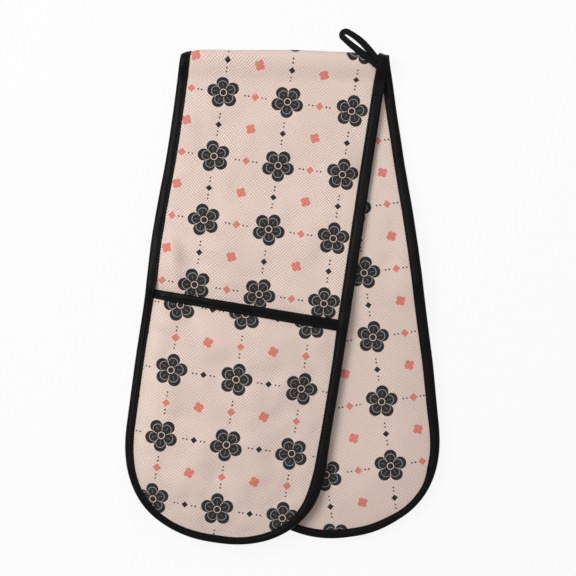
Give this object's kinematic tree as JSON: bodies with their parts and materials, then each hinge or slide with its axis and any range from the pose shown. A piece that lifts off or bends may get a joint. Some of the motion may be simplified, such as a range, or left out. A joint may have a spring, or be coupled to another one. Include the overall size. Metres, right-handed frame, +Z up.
{
  "type": "double oven glove",
  "caption": "Padded cotton strip folded in half, with a bound hand pocket at each rounded end and a hanging loop at the fold, for lifting hot dishes.",
  "frame": {"origin": "middle of the folded glove's outline in plan, on the surface it lies on", "axes": "+Y from the rounded ends towards the fold, +Z up through the layers, +X to the right along the fold line"},
  "size_m": [0.2788, 0.4502, 0.0319],
  "materials": {
    "printed_cotton": null,
    "black_tape": "black cotton-satin bias tape, slightly lustrous",
    "wadding": "matte cotton wadding",
    "lining_cotton": "matte plain cotton lining"
  },
  "bodies": {
    "rear_half": {"rear_strip_outer_cover": "printed_cotton", "rear_strip_wadding": "wadding", "rear_strip_inner_cover": "printed_cotton", "rear_edge_binding": "black_tape", "rear_pocket_seam_margin": "lining_cotton"},
    "rear_pocket": {"rear_pocket_cover": "printed_cotton", "rear_pocket_wadding": "wadding", "rear_pocket_lining": "lining_cotton", "rear_mouth_binding": "black_tape"},
    "fold_band": {"fold_outer_cover": "printed_cotton", "fold_wadding": "wadding", "fold_inner_cover": "printed_cotton", "fold_binding_left": "black_tape", "fold_binding_right": "black_tape"},
    "front_half": {"front_strip_outer_cover": "printed_cotton", "front_strip_wadding": "wadding", "front_strip_inner_cover": "printed_cotton", "front_edge_binding": "black_tape", "front_pocket_seam_margin": "lining_cotton", "loop_tape_end": "black_tape"},
    "front_pocket": {"front_pocket_cover": "printed_cotton", "front_pocket_wadding": "wadding", "front_pocket_lining": "lining_cotton", "front_mouth_binding": "black_tape"},
    "loop": {"hanging_loop": "black_tape"}
  },
  "joints": [
    {"name": "lower_fold", "type": "hinge", "parent": "rear_half", "child": "fold_band", "pos_m": [0, 0.20578, 0.00245], "axis": [-1, 0, 0], "range_deg": [0, 87.5]},
    {"name": "upper_fold", "type": "hinge", "parent": "fold_band", "child": "front_half", "pos_m": [0, 0.20578, 0.01475], "axis": [-1, 0, 0], "range_deg": [0, 87.5]},
    {"name": "rear_pocket_mouth", "type": "hinge", "parent": "rear_half", "child": "rear_pocket", "pos_m": [0.05944, -0.2093, 0.0107], "axis": [-0.9901, -0.14, 0], "range_deg": [0, 12]},
    {"name": "front_pocket_mouth", "type": "hinge", "parent": "front_half", "child": "front_pocket", "pos_m": [-0.05944, -0.21375, 0.0212], "axis": [0.9901, -0.14, 0], "range_deg": [0, 12]},
    {"name": "loop_swing", "type": "hinge", "parent": "front_half", "child": "loop", "pos_m": [0.07997, 0.19699, 0.01838], "axis": [0.14, 0.9901, 0], "range_deg": [0, 135]}
  ],
  "couplings": [
    {"joint": "lower_fold", "follows": "upper_fold", "ratio": 1}
  ]
}
